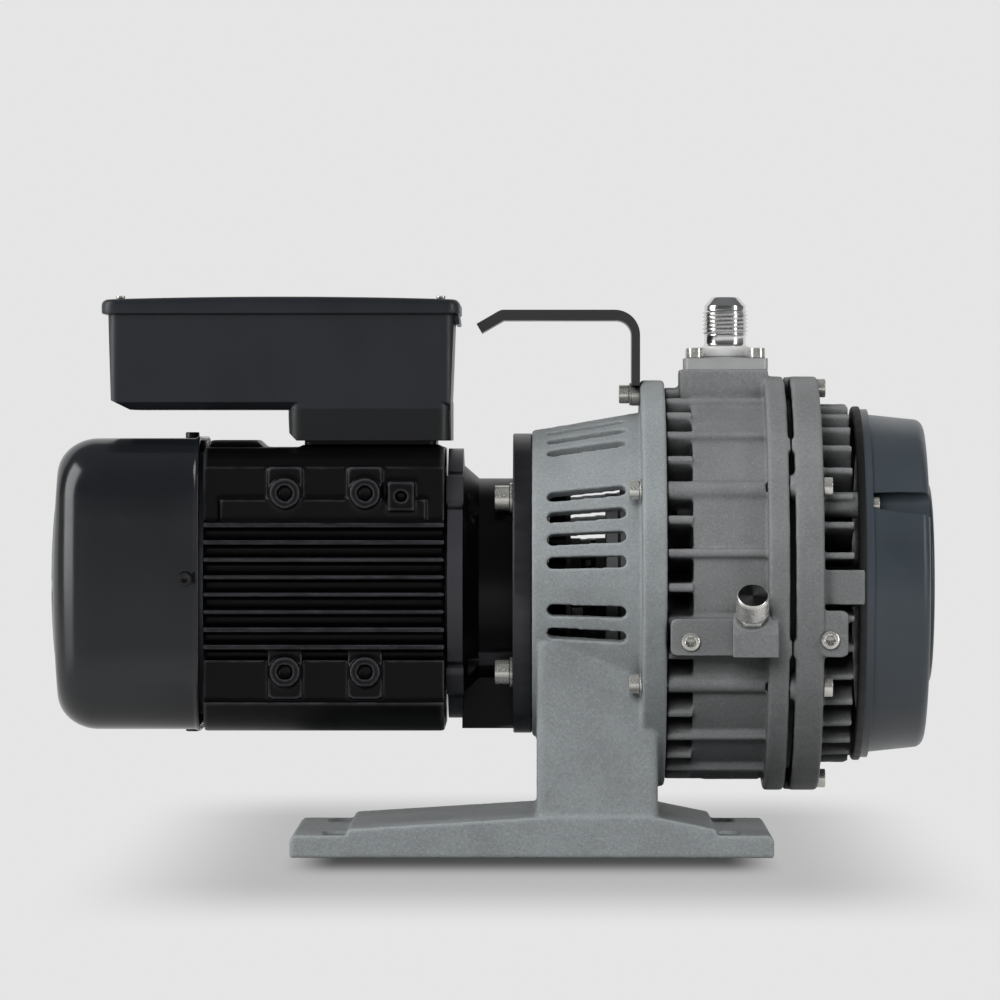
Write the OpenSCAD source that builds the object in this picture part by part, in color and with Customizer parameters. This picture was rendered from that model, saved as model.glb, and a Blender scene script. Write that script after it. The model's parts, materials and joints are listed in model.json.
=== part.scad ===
// Dry scroll vacuum pump, close-coupled to a single-phase flange motor. Millimetres.
// +X runs along the shaft towards the fan cover, +Z is up.
// The origin is the centre of the underside of the foot, below the shaft axis.

/* [Foot and bracket] */
// Height of the shaft axis above the underside of the foot
axis_h = 142; // [138:1:146]
// Length of the foot along the shaft
foot_l = 253.6; // [248:0.2:258]
// Width of the foot across the shaft
foot_w = 160; // [156:1:164]
// Thickness of the foot at its ends
foot_end_t = 11.8; // [10:0.1:12.5]
// Spacing of the holding-down holes along the shaft
foot_hole_dx = 206; // [202:1:210]
// Spacing of the holding-down holes across the shaft
foot_hole_dy = 112; // [108:1:116]
// Diameter of the holding-down holes
foot_hole_d = 9; // [7:0.5:10]
// Wall of the bell bracket
bell_wall = 6; // [5:0.5:7]
// Height of one ventilation slot in the bell
slot_w = 6; // [4.5:0.1:6.2]

/* [Pump head] */
// Radius of the flanges of the two scroll castings
flange_r = 110.5; // [109.5:0.5:112]
// Outer radius of the drum behind the flanges
drum_r = 101; // [100:0.5:102]
// Inner radius of the drum
drum_ri = 95; // [94.5:0.25:95.5]
// Angle between two cooling ribs
rib_step = 10; // [10:10:10]
// Radius of the bolt circle between the two castings
bolt_circle_r = 104.3; // [103.5:0.1:105]

/* [Scroll] */
// Radial pitch of the scroll wraps
wrap_pitch = 18; // [17.5:0.1:18.5]
// Thickness of a scroll wrap
wrap_t = 4.5; // [4:0.1:4.6]
// Throw of the crankshaft and of the three small cranks
orbit_r = 4; // [3.8:0.05:4]
// Radius at which the wraps end
wrap_end_r = 66; // [64:0.5:66.5]

/* [Inlet and ballast] */
// Largest diameter of the inlet thread
inlet_thread_d = 24.5; // [24:0.1:25]
// Bore of the inlet fitting
inlet_bore_d = 12; // [10:0.5:12.5]
// Diameter of the ballast knob
knob_d = 17.2; // [16:0.2:17.4]
// Length of the ballast knob
knob_l = 14; // [13:0.5:15]

/* [Motor] */
// Diameter of the motor flange
motor_flange_d = 160; // [158:1:162]
// Bolt circle of the motor flange
motor_bolt_circle_d = 130; // [129:0.5:131]
// Number of side fins on the motor frame
fin_count = 8; // [6:2:8]
// Pitch of the motor's fins
fin_pitch = 9.13; // [9:0.01:9.2]
// Half the width of the fan cowl
cowl_half = 77; // [76.8:0.1:79]
// Corner radius of the fan cowl
cowl_corner_r = 31; // [29:0.5:32]

/* [Hidden] */
$fn = 96;
eps = 0.01;
run_gap = 0.05;         // radial clearance of a running fit
through = 1;            // how far a cutter passes a face

// colours
c_bracket = "#7d858a";
c_casting = "#6f7173";
c_cover = "#3f4a52";
c_black = "#17181a";
c_gloss = "#0c0d0f";
c_zinc = "#c3c6c4";
c_steel = "#9a9ea1";
c_bright = "#d5d8d8";
c_hook = "#33363a";
c_rubber = "#222222";
c_copper = "#b5682f";
c_core = "#5d6468";
c_bronze = "#a58a55";
c_white = "#dcdad2";

// stations along the shaft
x_bell_end = 57.5;      // where the bell meets its flange
x_head = 70.5;          // pump side of the bracket flange
x_plate = 84;           // rear scroll plate, outer face
x_plate_in = 92;        // rear scroll plate, inner face
x_wrap_rear = 106;      // tips of the rear wraps
x_wrap_front = 115;     // tips of the front wraps
x_front_in = 129;       // front scroll plate, inner face
x_flange2 = 123;        // rear casting flange
x_joint = 134;          // end of the rear casting
x_flange3 = 137;        // front casting flange
x_fins = 152;           // face of the front flange
x_fin_end = 168;        // tips of the front fins
x_cover = 173.5;        // lip of the fan cover
x_frame0 = -172.5;      // rear end of the motor frame
x_frame1 = -46;         // drive end of the motor frame

bracket_bolt_r = 101;
bolt_angles = [30 : 60 : 330];
crank_angles = [30, 150, 270];
crank_circle_r = 83;
wrap_a = wrap_pitch / (2 * PI);
knob_tilt = 45;
knob_seat = [114, -117.5, 126.5];

// ---------- helpers ----------
// Local x becomes Y, local y becomes height above the axis, local z becomes X.
module on_axis() translate([0, 0, axis_h]) rotate([90, 0, 90]) children();

module plate(x0, x1) on_axis() translate([0, 0, x0]) linear_extrude(x1 - x0) children();

module bar(x0, x1, r) on_axis() translate([0, 0, x0]) cylinder(h = x1 - x0, r = r);

module tube(x0, x1, ro, ri) difference() {
    bar(x0, x1, ro);
    bar(x0 - through, x1 + through, ri);
}

// A profile of [radius, x] points turned about the shaft axis
module turned(points) on_axis() rotate_extrude() polygon(points);

module rounded_disc(x0, x1, r, f) on_axis() rotate_extrude() {
    translate([0, x0]) square([r - f, x1 - x0]);
    translate([0, x0 + f]) square([r, x1 - x0 - 2 * f]);
    for (x = [x0 + f, x1 - f]) translate([r - f, x]) circle(f);
}

// Extruded along Y between y0 and y1 from an outline drawn in X and Z
module side_profile(y0, y1) translate([0, y1, 0]) rotate([90, 0, 0]) linear_extrude(y1 - y0) children();

module rrect(w, h, r) {
    square([w - 2 * r, h], center = true);
    square([w, h - 2 * r], center = true);
    for (sx = [-1, 1], sy = [-1, 1]) translate([sx * (w / 2 - r), sy * (h / 2 - r)]) circle(r);
}

module stadium(l, w) {
    square([l - w, w], center = true);
    for (s = [-1, 1]) translate([s * (l - w) / 2, 0]) circle(w / 2);
}

module ring_of(r, angles) for (a = angles) rotate(a) translate([r, 0]) children();

module radial_bar(r0, r1, t) translate([r0, -t / 2]) square([r1 - r0, t]);

// A cap screw whose head stands on z = 0 and whose shank goes down
module cap_screw(head_d, head_h, shank_d, shank_l, key) {
    difference() {
        cylinder(h = head_h, d = head_d);
        translate([0, 0, head_h * 0.45]) cylinder(h = head_h, d = key, $fn = 6);
    }
    translate([0, 0, -shank_l]) cylinder(h = shank_l + eps, d = shank_d);
}

module cross_screw(head_d, head_h, shank_d, shank_l) {
    difference() {
        cylinder(h = head_h, d = head_d);
        for (a = [0, 90]) rotate(a) translate([0, 0, head_h]) cube([head_d * 0.6, 1, 1.6], center = true);
    }
    translate([0, 0, -shank_l]) cylinder(h = shank_l + eps, d = shank_d);
}

module facing_rear(x) translate([x, 0, 0]) rotate([0, -90, 0]) children();
module facing_front(x) translate([x, 0, 0]) rotate([0, 90, 0]) children();

// Puts children at radius r and angle a about the shaft, children drawn along X
module polar(r, a) translate([0, r * cos(a), axis_h + r * sin(a)]) children();

// ---------- scroll wraps ----------
function inv_point(p, d) = let(q = p * 180 / PI, s = p + d / wrap_a)
    [wrap_a * (cos(q) + s * sin(q)), wrap_a * (sin(q) - s * cos(q))];
function phi_at(r) = sqrt(pow(r / wrap_a, 2) - 1);

wrap_step = 8 * PI / 180;
module wrap(r0, r1, t) {
    p0 = phi_at(r0);
    n = floor((phi_at(r1) - p0) / wrap_step);
    outer = [for (i = [0 : n]) inv_point(p0 + i * wrap_step, t / 2)];
    inner = [for (i = [n : -1 : 0]) inv_point(p0 + i * wrap_step, -t / 2)];
    polygon(concat(outer, inner));
}
fixed_start_r = 33.5;
orbit_start_r = 25;

// ---------- bracket ----------
module foot_outline() {
    hl = foot_l / 2;
    chamfer = 2.3;
    step_x = 96;
    step_z = 15.2;
    top_z = 21.2;
    polygon([
        [-hl, 0], [hl, 0], [hl, foot_end_t - chamfer], [hl - chamfer, foot_end_t], [step_x + 1.5, foot_end_t],
        [step_x, step_z], [67, top_z], [1.5, top_z],
        [-step_x, step_z], [-step_x - 1.5, foot_end_t], [-hl + chamfer, foot_end_t],
        [-hl, foot_end_t - chamfer]
    ]);
}

slot_l = 41.4;
slot_mid_x = 28.7;
slot_angles = [-17.2, -8.6, 8.6, 17.2, 25.8, 34.4, 57, 65.7, 74.4, 83.1];

module bell_slots() for (side = [0, 1], a = slot_angles)
    mirror([0, side, 0]) translate([slot_mid_x, 0, axis_h]) rotate([-a, 0, 0])
        translate([0, -60, 0]) rotate([90, 0, 0]) linear_extrude(45) stadium(slot_l, slot_w);

module bell_bracket() color(c_bracket) difference() {
    union() {
        side_profile(-foot_w / 2, foot_w / 2) foot_outline();
        translate([34.25, 0, 15]) linear_extrude(97) rrect(63.5, foot_w - 2.4, 4);
        turned([[0, 0], [80.8, 0], [81.8, 1], [91.5, x_bell_end + 1], [0, x_bell_end + 1]]);
        rounded_disc(x_bell_end, x_head, 108.5, 2);
    }
    // cavity, motor spigot bore and slots
    turned([[0, 7.5], [81.9 - bell_wall, 7.5], [92 - bell_wall, x_bell_end], [88, x_head + through],
        [0, x_head + through]]);
    bar(-through, 8, 55);
    bell_slots();
    // driver access to the lowest flange bolt, through the pedestal
    polar(bracket_bolt_r, 270) facing_front(-through) cylinder(h = x_bell_end + through, d = 14);
    // holding-down holes and their spot-faced slots
    for (sx = [-1, 1], sy = [-1, 1]) translate([sx * foot_hole_dx / 2, sy * foot_hole_dy / 2, 0]) {
        translate([0, 0, -through]) cylinder(h = 20, d = foot_hole_d);
        translate([0, 0, foot_end_t - 2]) linear_extrude(8) rotate(90) stadium(42, 14);
    }
    for (a = bolt_angles) polar(bracket_bolt_r, a) facing_front(x_bell_end - through)
        cylinder(h = 20, d = 6.6);
    for (a = [45 : 90 : 315]) polar(motor_bolt_circle_d / 2, a) facing_front(-through)
        cylinder(h = 10, d = 7);
}

hook_bar_t = 5.6;
hook_leg_t = 4.4;
hook_w = 40;
hook_top_z = 287.8;
hook_bend_r = 13.5;
hook_bush_r = 6.2;
hook_x = 57.5;

hook_bend_x = -15;      // where the free end turns down
hook_tip_l = 13.5;
hook_tip_a = 30;

// n + 1 points on an arc round c
function arc(c, r, a0, a1, n) = [for (i = [0 : n]) let(a = a0 + (a1 - a0) * i / n) c + r * [cos(a), sin(a)]];

module hook_outline() {
    foot_z = 247.5;
    inner_r = 8;
    corner = [hook_x - hook_bend_r, hook_top_z - hook_bend_r];
    inner = [hook_x - hook_leg_t - inner_r, hook_top_z - hook_bar_t - inner_r];
    tip_bend = [hook_bend_x, hook_top_z - hook_bar_t];
    along = -hook_tip_l * [cos(hook_tip_a), sin(hook_tip_a)];
    across = hook_bar_t * [cos(90 + hook_tip_a), sin(90 + hook_tip_a)];
    polygon(concat(
        [[hook_x, foot_z]], arc(corner, hook_bend_r, 0, 90, 18),
        arc(tip_bend, hook_bar_t, 90, 90 + hook_tip_a, 6), [tip_bend + along + across,
            tip_bend + along, tip_bend],
        arc(inner, inner_r, 90, 0, 18), [[hook_x - hook_leg_t, foot_z]]
    ));
}

module lifting_hook() color(c_hook) difference() {
    side_profile(-hook_w / 2, hook_w / 2) hook_outline();
    polar(bracket_bolt_r, 90) facing_front(40) cylinder(h = 20, r = hook_bush_r);
}

// The plated bush that the hook is welded to, round the top bracket bolt
module hook_bush() color(c_zinc) polar(bracket_bolt_r, 90) facing_front(hook_x - hook_leg_t) difference() {
    cylinder(h = hook_leg_t, r = hook_bush_r);
    translate([0, 0, -through]) cylinder(h = hook_leg_t + 2 * through, d = 6.6);
}

module bracket_bolts() color(c_zinc) for (a = bolt_angles) {
    seat = a == 90 ? x_bell_end - hook_leg_t : x_bell_end;
    polar(bracket_bolt_r, a) facing_rear(seat - 1.2) {
        cap_screw(10, 5.5, 6, 30 + x_bell_end - seat, 5);
        translate([0, 0, -1.2]) difference() {
            cylinder(h = 1.2, d = 12);
            translate([0, 0, -1]) cylinder(h = 4, d = 6);
        }
    }
}

// ---------- rear casting ----------
function is_boss(a) = (a - 30) % 60 == 0;
function is_long(a) = (a - rib_step) % (2 * rib_step) == 0;

module rear_ribs() {
    rib_r = 105;
    for (a = [0 : rib_step : 350]) {
        t = is_boss(a) ? 10.5 : 5;
        plate(x_head, x_plate + eps) rotate(a) {
            radial_bar(46, rib_r - t / 2, t);
            translate([rib_r - t / 2, 0]) circle(t / 2);
        }
        if (is_long(a)) plate(x_plate, x_flange2 + eps) rotate(a) {
            radial_bar(drum_r - 3, rib_r - t / 2, t);
            translate([rib_r - t / 2, 0]) circle(t / 2);
        }
    }
}

boss_half = 23.5;
inlet_x = 103.2;
inlet_top = 256;
side_bar_z = [107, 126];
side_bar_y = 113;

module rear_fixed_scroll() color(c_casting) difference() {
    union() {
        bar(x_plate, x_plate_in, drum_r);
        tube(x_plate, x_joint, drum_r, drum_ri);
        difference() {
            rounded_disc(x_flange2, x_joint, flange_r, 1.5);
            bar(x_flange2 - through, x_joint + through, drum_ri);
        }
        rear_ribs();
        gap_pads(x_joint - 2, x_joint + 1.2);
        bar(60, x_plate + eps, 34);
        plate(76, x_plate + eps) ring_of(crank_circle_r, crank_angles) circle(9);
        difference() {
            union() {
                translate([78.5, -boss_half, axis_h + 90]) cube([47, 2 * boss_half, inlet_top - axis_h - 90]);
                for (s = [-1, 1]) side_profile(s > 0 ? 90 : -side_bar_y, s > 0 ? side_bar_y : -90)
                    translate([99.5, (side_bar_z[0] + side_bar_z[1]) / 2])
                        rrect(55, side_bar_z[1] - side_bar_z[0], 2.5);
            }
            bar(60, x_joint + through, drum_r - 2);
        }
        plate(x_plate_in - eps, x_wrap_rear) wrap(fixed_start_r, wrap_end_r, wrap_t);
    }
    // bearing seat and shaft passage
    bar(60 - through, 80, 26);
    bar(79, x_plate_in + through, 19);
    // inlet passage
    translate([inlet_x, 0, axis_h + 90]) cylinder(h = 80, r = 9);
    // small crank journals
    for (a = crank_angles) polar(crank_circle_r, a) facing_front(74) cylinder(h = 20, r = 6.5);
    // screw holes
    for (a = bolt_angles) {
        polar(bracket_bolt_r, a) facing_front(x_head - through) cylinder(h = 22, d = 6);
        polar(bolt_circle_r, a) facing_front(x_flange2 - through) cylinder(h = 14, d = 6);
    }
    // exhaust passage from the middle of the wraps to the far side
    translate([88, 27, axis_h]) rotate([-90, 0, 0]) cylinder(h = 90, r = 2.6);
    translate([88, 28, axis_h]) rotate([0, 90, 0]) cylinder(h = 10, r = 3);
    // inner end of the ballast passage
    translate([knob_seat[0] - 5, -side_bar_y - through, 116]) rotate([-90, 0, 0]) cylinder(h = 25, r = 2);
    // tapped holes for the plug screws and the exhaust block
    translate([82.3, -side_bar_y - through, 114.2]) rotate([-90, 0, 0]) cylinder(h = 9, d = 6);
    for (x = [78, 121]) translate([x, side_bar_y + through, 116.5]) rotate([90, 0, 0])
        cylinder(h = 12, d = 4);
}

// ---------- front casting ----------
module front_fins() plate(x_flange3 - eps, x_fin_end) for (a = [0 : rib_step : 350]) rotate(a) {
    radial_bar(31, 94, 4);
    translate([94, 0]) circle(2);
}

module front_fixed_scroll() color(c_casting) difference() {
    union() {
        bar(x_front_in, x_flange3 + eps, drum_ri - 0.1);
        difference() {
            rounded_disc(x_flange3, x_fins, flange_r, 1.5);
            bar(x_flange3 + 3, x_fins + through, 88);
        }
        plate(x_joint + 0.05, x_flange3 + eps) ring_of(bolt_circle_r - 1, bolt_angles) circle(7);
        gap_pads(x_flange3 - 1.3, x_flange3 + 2);
        front_fins();
        bar(x_flange3 - 2, 158, 32);
        for (a = crank_angles) polar(85, 180 - a) facing_front(x_flange3)
            cylinder(h = x_cover - x_flange3, r = 7);
        for (s = [-1, 1]) translate([x_fins - 2, s > 0 ? 70 : -96, axis_h - 9])
            cube([x_cover - x_fins + 2, 26, 18]);
        for (s = [-1, 1]) side_profile(s > 0 ? 84 : -106, s > 0 ? 106 : -84)
            translate([x_fins + 5.2, 118]) rrect(14.4, 24, 3);
        plate(x_wrap_front, x_front_in + eps) wrap(fixed_start_r, wrap_end_r, wrap_t);
    }
    bar(x_front_in - through, 139, 19);
    bar(138, 158 + through, 26);
    for (a = bolt_angles) polar(bolt_circle_r, a) facing_front(x_joint - through) cylinder(h = 20, d = 6.6);
    for (a = crank_angles) polar(85, 180 - a) facing_front(x_cover - 14) cylinder(h = 15, d = 4);
    translate([154.8, -106 - through, 114.9]) rotate([-90, 0, 0]) cylinder(h = 9, d = 6);
    translate([154.8, -106, 114.9]) rotate([90, 0, 0]) cylinder(h = 8, r = 4.8);
}

// Angles of the small pads beside each housing bolt, where the two flanges nearly touch
pad_angles = [for (a = bolt_angles, d = [-13, 14, 30]) a + d];
module gap_pads(x0, x1) plate(x0, x1) intersection() {
    ring_of(flange_r - 3, pad_angles) circle(4.5);
    circle(flange_r - 0.6);
}

module housing_seal() color(c_rubber) difference() {
    tube(x_joint + 0.02, x_flange3 - 0.02, 99, drum_ri);
    for (a = bolt_angles) polar(bolt_circle_r - 1, a) facing_front(x_joint - through) cylinder(h = 5,
        r = 7.1);
}

module housing_bolts() color(c_zinc) for (a = bolt_angles) polar(bolt_circle_r, a)
    facing_front(x_fins) cap_screw(10, 4.8, 6, x_fins - x_flange2, 5);

// ---------- bearings and seals ----------
journal_r = 12.5;
bearing_ro = 26;

// Outer ring, inner ring, ball cage and shields of a deep-groove bearing
module ball_bearing(x0, w, ro, ri) {
    shell = (ro - ri) * 0.24;
    mid = (ro + ri) / 2;
    tube(x0, x0 + w, ro, ro - shell);
    tube(x0, x0 + w, ri + shell, ri);
    tube(x0 + w * 0.36, x0 + w * 0.64, ro - shell + eps, ri + shell - eps);
    for (a = [0 : 40 : 320]) polar(mid, a) translate([x0 + w / 2, 0, 0]) sphere(r = (ro - ri) * 0.24);
}

module main_bearings() color(c_steel) {
    ball_bearing(64, 15, bearing_ro, journal_r + run_gap);
    ball_bearing(139, 15, bearing_ro, journal_r + run_gap);
}

module bearing_carrier() color(c_casting) difference() {
    union() {
        bar(47, 60, 51);
        bar(39.5, 45.5, 48);
        bar(45.5 - eps, 47 + eps, 46);
        bar(60 - eps, 63.5, bearing_ro - 0.05);
    }
    bar(39, 70, 21);
    bar(39, 43, 27);
    for (a = [0 : 60 : 300]) polar(40, a) facing_front(30) cylinder(h = 40, d = 5.2);
    for (a = [0 : 60 : 300]) polar(40, a) facing_front(39) cylinder(h = 11, d = 9.2);
}

module carrier_screws() color(c_zinc) for (a = [0 : 60 : 300]) polar(40, a) facing_rear(50)
    cap_screw(8.6, 5, 5, 9.9, 4);

module shaft_seals() color(c_rubber) {
    tube(44, 50, 21, journal_r + 0.1);
    tube(80.1, 90, 19, journal_r + 0.1);
    tube(130, 138, 19, journal_r + 0.1);
}

module fixed_tip_seals() color(c_white) {
    plate(x_wrap_rear, x_wrap_rear + 0.3) wrap(fixed_start_r + 3, wrap_end_r - 3, 2.4);
    plate(x_wrap_front - 0.3, x_wrap_front) wrap(fixed_start_r + 3, wrap_end_r - 3, 2.4);
}

// ---------- inlet ----------
flange_w = 44.4;
module inlet_flange() color(c_steel) translate([inlet_x, 0, 0]) difference() {
    union() {
        translate([0, 0, inlet_top]) linear_extrude(6) rrect(flange_w, flange_w, 3);
        translate([0, 0, inlet_top + 6 - eps]) cylinder(h = 1, r = 14.5);
    }
    translate([0, 0, inlet_top - through]) cylinder(h = 12, r = 10);
    for (sx = [-1, 1], sy = [-1, 1]) translate([sx * 16.5, sy * 16.5, inlet_top - through])
        cylinder(h = 8, d = 5.2);
}

module inlet_bolts() color(c_zinc) for (sx = [-1, 1], sy = [-1, 1])
    translate([inlet_x + sx * 16.5, sy * 16.5, inlet_top + 6]) cap_screw(8.8, 5.6, 5, 5.9, 4);

thread_pitch = 2.117;
thread_z0 = 274.3;
inlet_tip = 294.8;

nose_h = 4.4;
module inlet_fitting() color(c_bright) translate([inlet_x, 0, 0]) difference() {
    union() {
        translate([0, 0, inlet_top - 14]) cylinder(h = 22, r = 8.9);
        translate([0, 0, inlet_top + 7]) cylinder(h = 5, r1 = 12.6, r2 = 13.5);
        translate([0, 0, inlet_top + 12 - eps]) cylinder(h = 1.9, r1 = 13.5, r2 = 11.1);
        translate([0, 0, inlet_top + 13]) cylinder(h = inlet_tip - nose_h - inlet_top - 13 + eps, r = 11.1);
        for (i = [0 : 5]) translate([0, 0, thread_z0 + i * thread_pitch]) rotate_extrude()
            polygon([[9, 0], [11.1, 0], [inlet_thread_d / 2, thread_pitch * 0.42],
                [inlet_thread_d / 2, thread_pitch * 0.58], [11.1, thread_pitch], [9, thread_pitch]]);
        translate([0, 0, inlet_tip - nose_h]) cylinder(h = nose_h, r1 = 11.1, r2 = 7.3);
    }
    translate([0, 0, inlet_top - 20]) cylinder(h = 60, d = inlet_bore_d);
    translate([0, 0, inlet_top - 15]) cylinder(h = 8, r = 8);
}

module inlet_strainer() color(c_steel) translate([inlet_x, 0, inlet_top - 13.9]) difference() {
    cylinder(h = 6.8, r = 7.9);
    translate([0, 0, -through]) cylinder(h = 6.8, r = 7.1);
    for (x = [-4.5 : 3 : 4.5], y = [-4.5 : 3 : 4.5]) if (norm([x, y]) < 6)
        translate([x, y, 4]) cylinder(h = 4, d = 1.6);
}

// ---------- gas ballast ----------
module ballast_valve_body() color(c_casting) difference() {
    union() {
        translate([104, 0, 0]) rotate([90, 0, 90]) linear_extrude(23.5) polygon([
            [-side_bar_y, 106.3], [-124, 106.3], [-124, 118.7], [-116.9, 125.8], [-side_bar_y, 125.8]
        ]);
        translate(knob_seat) rotate([knob_tilt, 0, 0]) translate([0, 0, -16]) cylinder(h = 16, r = 9.7);
    }
    translate(knob_seat) rotate([knob_tilt, 0, 0]) translate([0, 0, -4.5]) cylinder(h = 6, r = 2.5 + run_gap);
    bar(x_flange2 - 0.1, x_joint, flange_r + 0.1);
    // room for the side bar and for the drum behind the boss
    translate([100, -side_bar_y, 90]) cube([40, 20, side_bar_z[1] + 0.1 - 90]);
    translate([100, -106, 90]) cube([40, 20, 60]);
    translate([knob_seat[0] - 5, -side_bar_y + through, 116]) rotate([90, 0, 0]) cylinder(h = 6, r = 2);
}

module plug_screws() color(c_zinc) {
    for (p = [[82.3, -side_bar_y, 114.2], [154.8, -106, 114.9]])
        translate(p) rotate([90, 0, 0]) cap_screw(9, 3, 6, 7.9, 5);
}

module ballast_knob() color(c_bright) translate(knob_seat) rotate([knob_tilt, 0, 0]) difference() {
    union() {
        translate([0, 0, -3.5]) cylinder(h = 4, r = 2.5);
        translate([0, 0, 0.3]) cylinder(h = 3, d = 14 / cos(30), $fn = 6);
        translate([0, 0, 3.3 - eps]) cylinder(h = 0.5, r = 6);
        translate([0, 0, 3.8 - eps]) cylinder(h = 1.2, d1 = knob_d - 2.4, d2 = knob_d);
        translate([0, 0, 5 - eps]) cylinder(h = knob_l - 2.4, d = knob_d);
        translate([0, 0, 2.6 + knob_l - eps]) cylinder(h = 1.2, d1 = knob_d, d2 = knob_d - 1.2);
    }
    translate([0, 0, 11]) rotate([90, 0, 0]) cylinder(h = 10, d = 1.8);
}

// ---------- exhaust, on the far side ----------
exhaust_x = 99.5;
module exhaust_block() color(c_casting) difference() {
    translate([75, side_bar_y, 104]) cube([49, 9, 25]);
    translate([exhaust_x, side_bar_y - through, 116.5]) rotate([-90, 0, 0]) cylinder(h = 12, r = 9);
    for (x = [78, 121]) translate([x, side_bar_y - through, 116.5]) rotate([-90, 0, 0])
        cylinder(h = 12, d = 4.2);
}

module exhaust_fitting() color(c_bright) translate([exhaust_x, side_bar_y + 1, 116.5]) rotate([-90, 0, 0])
difference() {
    union() {
        cylinder(h = 9, r = 8.9);
        translate([0, 0, 8]) cylinder(h = 6, d = 24, $fn = 6);
        translate([0, 0, 14 - eps]) cylinder(h = 12, r = 8);
        for (i = [0 : 2]) translate([0, 0, 15 + 3.6 * i]) cylinder(h = 3, r1 = 9.2, r2 = 8);
    }
    translate([0, 0, -through]) cylinder(h = 40, r = 6);
}

// ---------- fan cover ----------
cover_lip_r = 93;
cover_lip_x = 178.5;
cover_side_r = [90.2, 87.6];    // where the side leaves the lip and where it meets the face's edge
cover_edge_r = 5.2;
cover_t = 2;
pocket_r = 6.8;
dome_r = 53.5;
x_cover_face = 208.4;
x_dome = 212.3;
guard_t = 2.5;

// Outer line of the cover from its side to its face, moved in by t
function cover_line(t) = concat([[cover_side_r[0] - t, cover_lip_x - t]],
    arc([cover_side_r[1] - cover_edge_r, x_cover_face - cover_edge_r], cover_edge_r - t, 0, 90, 6));

module fan_cover() color(c_cover) difference() {
    union() {
        turned(concat([[cover_lip_r - 6, x_cover], [cover_lip_r, x_cover], [cover_lip_r, cover_lip_x]],
            cover_line(0), [[dome_r - 3, x_cover_face], [dome_r - 3, x_cover_face - cover_t]],
            [for (i = [len(cover_line(cover_t)) - 1 : -1 : 0]) cover_line(cover_t)[i]],
            [[cover_lip_r - 6, cover_lip_x - cover_t]]));
        // walls of the pockets round the screws
        intersection() {
            turned(concat([[60, x_cover], [cover_lip_r, x_cover], [cover_lip_r, cover_lip_x]],
                cover_line(0), [[60, x_cover_face]]));
            for (a = crank_angles) polar(85, 180 - a) facing_front(x_cover)
                cylinder(h = 40, r = pocket_r + cover_t);
        }
    }
    for (a = crank_angles) polar(85, 180 - a) {
        facing_front(x_cover - through) cylinder(h = 30, d = 4.4);
        facing_front(x_cover + 3.5) cylinder(h = 40, r = pocket_r);
    }
}

module fan_guard() color(c_cover) {
    turned(concat([[dome_r - 3, x_cover_face], [dome_r, x_cover_face]],
        arc([dome_r - 2, x_dome - 2], 2, 0, 90, 5), [[dome_r - 3, x_dome]]));
    plate(x_dome - guard_t, x_dome) {
        for (r = [10 : 7 : 45]) difference() {
            circle(r + 1.2);
            circle(r - 1.2);
        }
        for (a = [0 : 45 : 315]) rotate(a) radial_bar(9, dome_r - 2.5, 3);
        circle(10);
    }
}

module cover_screws() color(c_zinc) for (a = crank_angles) polar(85, 180 - a)
    facing_front(x_cover + 3.5) cap_screw(8.7, 5, 4, 14, 4);

// ---------- motor ----------
module drive_end_shield() color(c_black) difference() {
    union() {
        rounded_disc(-10, 0, motor_flange_d / 2, 1);
        bar(-eps, 3.5, 54.9);
        turned([[0, -45.9], [57, -45.9], [57, -44.4], [72, -44.4], [72, -36.4], [63, -36], [56, -28],
            [56, -10 + eps], [0, -10 + eps]]);
        translate([-37, -26, axis_h - 76.5]) cube([27 + eps, 52, 30]);
        for (a = [45 : 90 : 315]) plate(-45, -36) rotate(a) translate([66, 0]) rrect(16, 20, 4);
    }
    bar(-60, 10, 9);
    bar(-47, -29, 17.5);
    turned([[22, -47], [50, -47], [50, -36], [22, -30]]);
    for (a = [45 : 90 : 315]) polar(motor_bolt_circle_d / 2, a) {
        facing_front(-12) cylinder(h = 14, d = 9);
        facing_front(-34) cylinder(h = 24, r = 9);
    }
}

module motor_bolts() color(c_zinc) for (a = [45 : 90 : 315]) polar(motor_bolt_circle_d / 2, a)
    facing_rear(-11.6) {
        cap_screw(13, 8, 7, 19, 6);
        translate([0, 0, -1.6]) difference() {
            cylinder(h = 1.6, d = 16);
            translate([0, 0, -1]) cylinder(h = 4, d = 6.9);
        }
    }

neck_z = 216;
box_neck_x = -85.5;
frame_half = 73;
frame_top = 72.75;
frame_bottom = 76.75;
module frame_section() difference() {
    union() {
        translate([0, (frame_top - frame_bottom) / 2]) rrect(2 * frame_half, frame_top + frame_bottom, 24);
    }
    for (s = [-1, 1], i = [0 : fin_count - 2]) {
        h = (i - fin_count / 2 + 1) * fin_pitch;
        translate([s * (frame_half - 6), h]) square([13, fin_pitch - 2.6], center = true);
        translate([h, s * frame_half - 2 - s * 4]) square([fin_pitch - 2.6, 9.5], center = true);
    }
    for (s = [-1, 1]) {
        translate([s * (frame_half + 1), 48.9]) square([10, 28.2], center = true);
        translate([s * (frame_half + 1), -50]) square([10, 22], center = true);
        translate([s * (frame_half - 6), 34.05]) square([13, 1.5], center = true);
        translate([s * (frame_half - 6), -36.15]) square([13, 5.7], center = true);
    }
}

module lug(x, z) for (s = [-1, 1]) translate([x, s * (frame_half - 10), axis_h + z]) rotate([-s * 90, 0, 0]) {
    translate([0, 0, 0]) linear_extrude(8) rrect(18, 28, 2);
    cylinder(h = 11, r = 8);
}

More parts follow.
